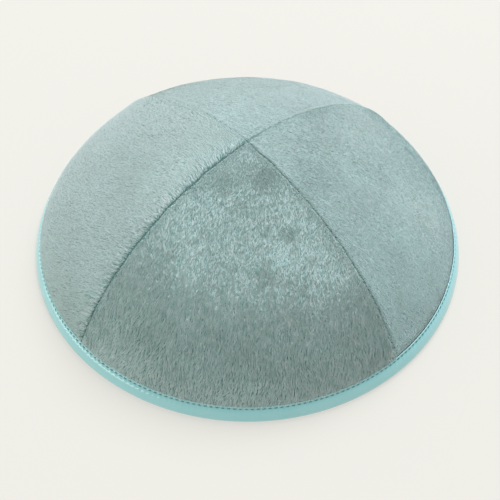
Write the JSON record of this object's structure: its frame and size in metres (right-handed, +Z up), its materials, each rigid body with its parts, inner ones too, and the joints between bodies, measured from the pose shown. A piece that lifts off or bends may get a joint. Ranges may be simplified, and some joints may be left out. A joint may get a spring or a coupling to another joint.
{
  "type": "kippah skullcap",
  "caption": "Shallow skullcap of four sewn plush panels whose lower edge is bound with a folded, topstitched leatherette tape.",
  "frame": {"origin": "centre of the rim, on the surface that the cap rests on", "axes": "+Z up to the point where the four seams meet, -Y towards the middle of the front panel, +X towards the right panel"},
  "size_m": [0.1786, 0.1786, 0.0596],
  "materials": {
    "plush_velour": "short-pile dusty teal plush with a soft sheen, its nap brushed one way on each panel",
    "binding_leatherette": "smooth light aqua leatherette with a satin gloss",
    "sewing_thread": "teal polyester sewing thread, a little darker than the tape"
  },
  "bodies": {
    "root": {"panel_front": "plush_velour", "panel_right": "plush_velour", "panel_back": "plush_velour", "panel_left": "plush_velour", "rim_binding": "binding_leatherette"}
  },
  "joints": []
}
